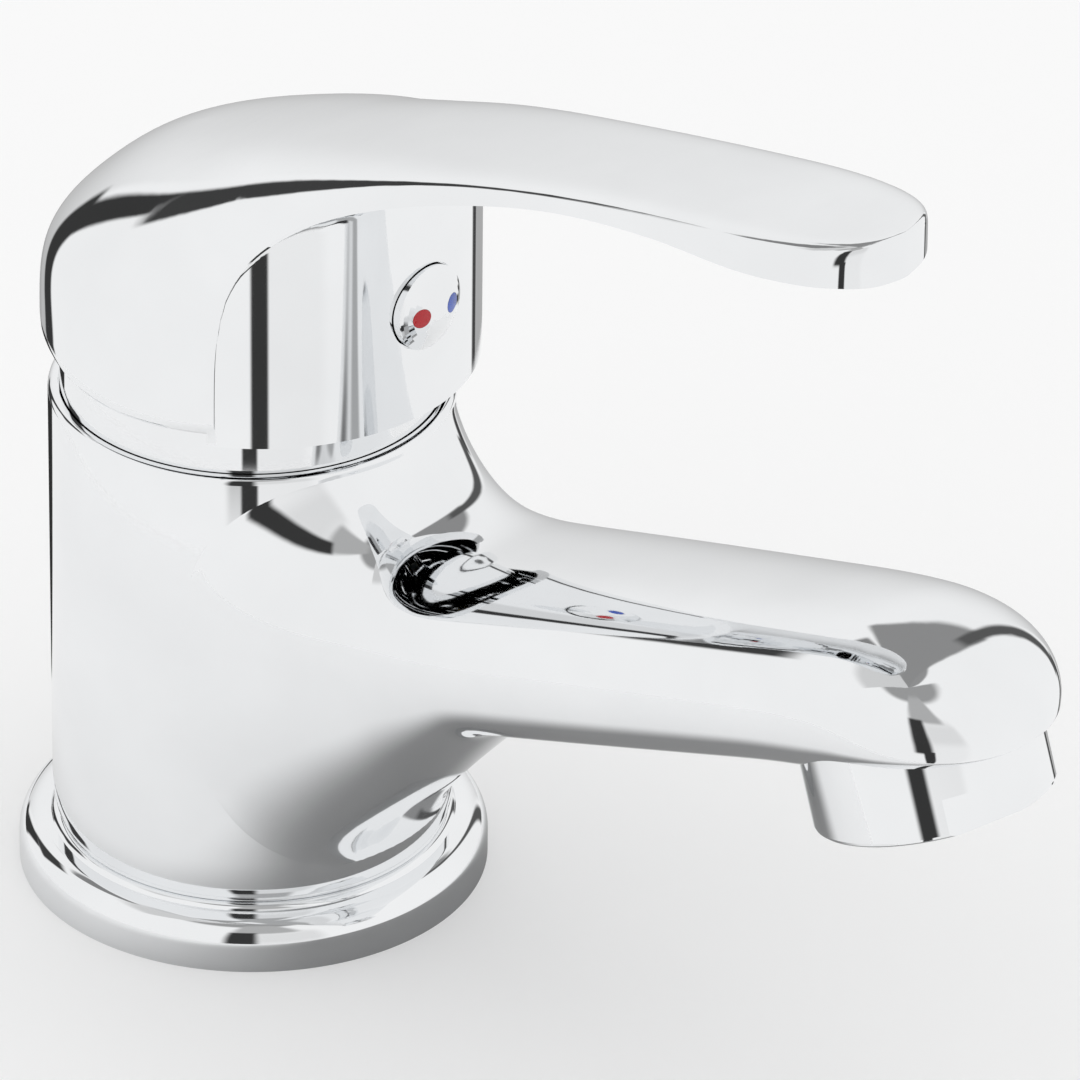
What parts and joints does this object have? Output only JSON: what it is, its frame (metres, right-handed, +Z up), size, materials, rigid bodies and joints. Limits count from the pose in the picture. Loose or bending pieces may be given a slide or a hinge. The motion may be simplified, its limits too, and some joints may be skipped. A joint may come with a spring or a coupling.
{
  "type": "bathroom mixer faucet",
  "caption": "Single-lever basin mixer faucet with a round chrome column, a rising cast spout, a curved lever handle, a leaning outlet collar and a rolled base ring",
  "frame": {"origin": "on the column's axis, at deck level, which is the plane of the base ring's and gasket's underside", "axes": "+X points along the spout to the user, +Y to the cold side, +Z up"},
  "size_m": [0.1401, 0.0538, 0.1155],
  "materials": {
    "chrome": "bright chrome plate",
    "brass": "turned brass",
    "rubber": "moulded black rubber",
    "ceramic": "lapped ceramic",
    "acetal": "moulded plastic",
    "steel": "plain steel",
    "hot_enamel": "gloss enamel",
    "cold_enamel": "gloss enamel"
  },
  "bodies": {
    "mixer": {"body": "chrome", "base_ring": "chrome", "base_gasket": "rubber", "cartridge_base": "acetal", "port_seals": "rubber", "fixed_disc": "ceramic", "cartridge_housing": "acetal", "cartridge_nut": "brass", "cap_seal": "rubber", "cap_ring": "chrome", "outlet_collar": "chrome", "flow_straightener": "acetal", "flow_screen": "acetal", "outlet_washer": "rubber"},
    "turret": {"cartridge_rotor": "acetal", "rotor_seal": "rubber", "stem_pin": "brass"},
    "disc": {"moving_disc": "ceramic", "disc_carrier": "acetal"},
    "lever": {"cartridge_stem": "brass", "handle": "chrome", "grub_screw": "steel", "index_plug": "chrome", "hot_mark": "hot_enamel", "cold_mark": "cold_enamel"}
  },
  "joints": [
    {"name": "temperature", "type": "hinge", "parent": "mixer", "child": "turret", "pos_m": [0, 0, 0.06], "axis": [0, 0, 1], "range_deg": [-50, 50]},
    {"name": "lift", "type": "hinge", "parent": "turret", "child": "lever", "pos_m": [0, 0, 0.06], "axis": [0, -1, 0], "range_deg": [0, 25]},
    {"name": "disc_slide", "type": "slide", "parent": "turret", "child": "disc", "axis": [1, 0, 0], "range_m": [0, 0.0053]}
  ],
  "couplings": [
    {"joint": "disc_slide", "follows": "lift", "m_per_rad": 0.0119}
  ]
}
